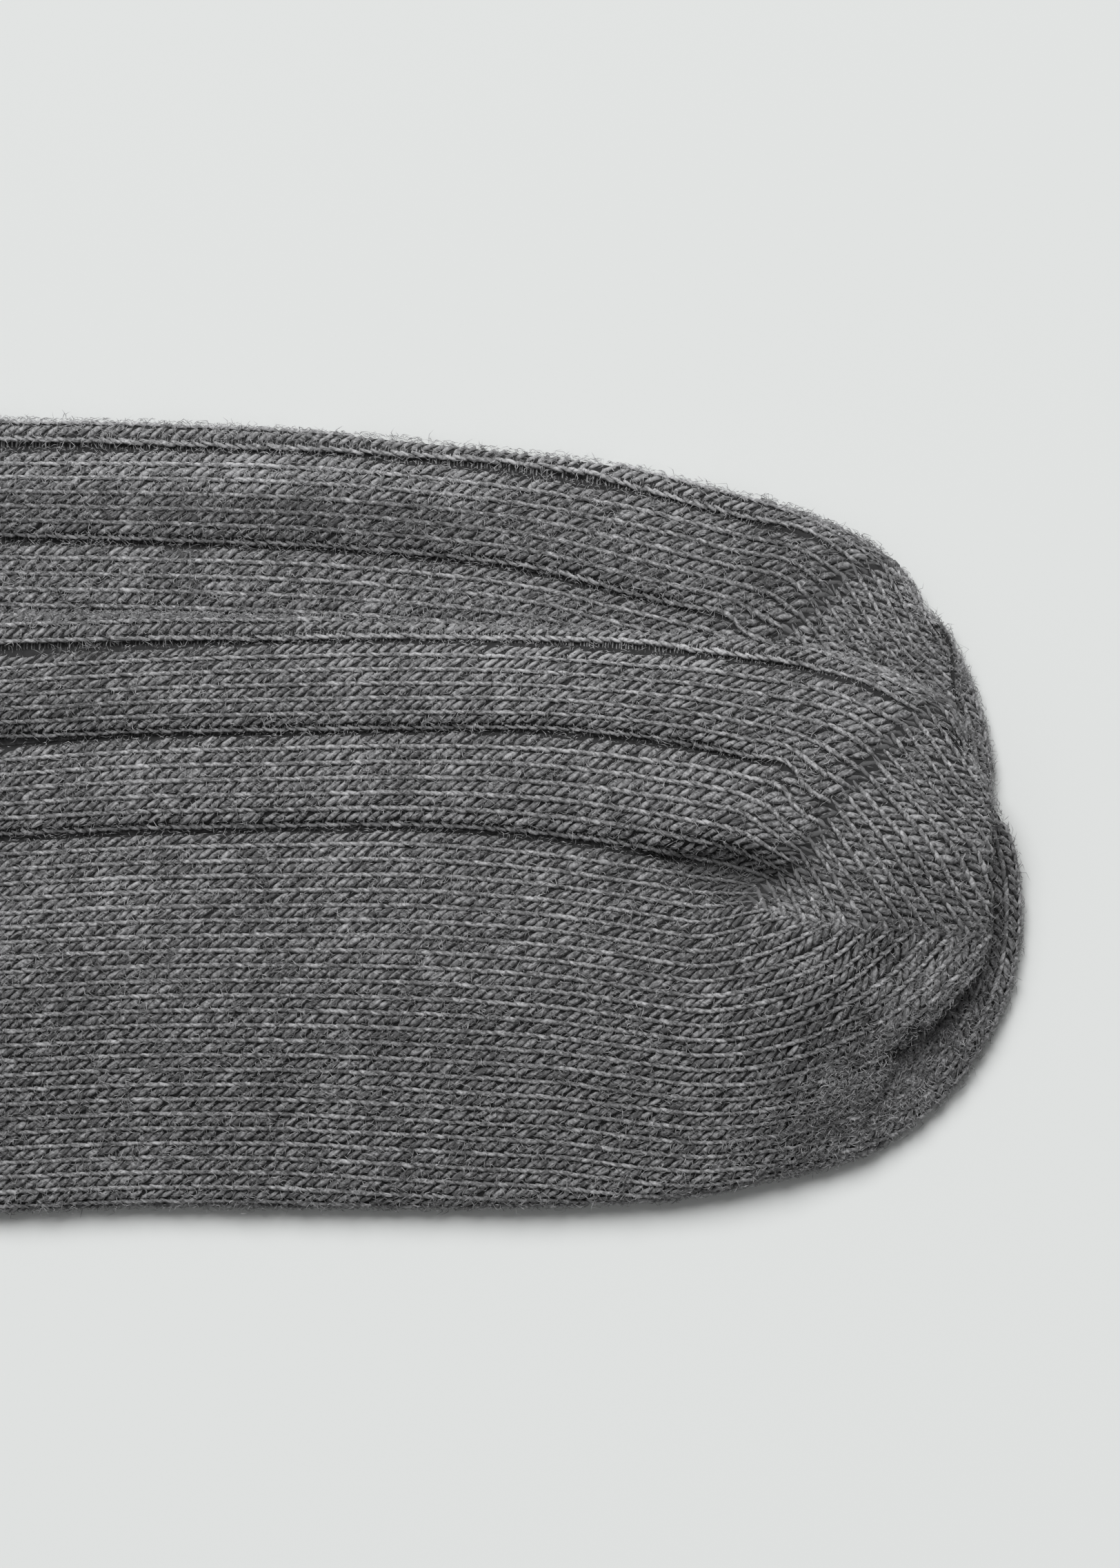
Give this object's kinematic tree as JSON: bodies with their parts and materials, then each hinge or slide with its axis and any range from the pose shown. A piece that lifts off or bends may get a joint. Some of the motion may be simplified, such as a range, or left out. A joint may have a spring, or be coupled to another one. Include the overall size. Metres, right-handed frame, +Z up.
{
  "type": "pair of ribbed socks",
  "caption": "Two ribbed knitted crew socks lying flat on their sides, the front one lapped over the back one, with ribbed insteps, plain soles and turned toes.",
  "frame": {"origin": "centre of the pair's footprint, on the surface that it lies on", "axes": "+X to the toes, +Y from soles to insteps, +Z up from the surface"},
  "size_m": [0.3188, 0.242, 0.0181],
  "materials": {
    "wool_back": "heather grey wool-blend knit, matt, lightly fuzzy",
    "wool_front": "heather grey wool-blend knit, matt, lightly fuzzy"
  },
  "bodies": {
    "root": {"sock_back": "wool_back", "sock_front": "wool_front"}
  },
  "joints": []
}
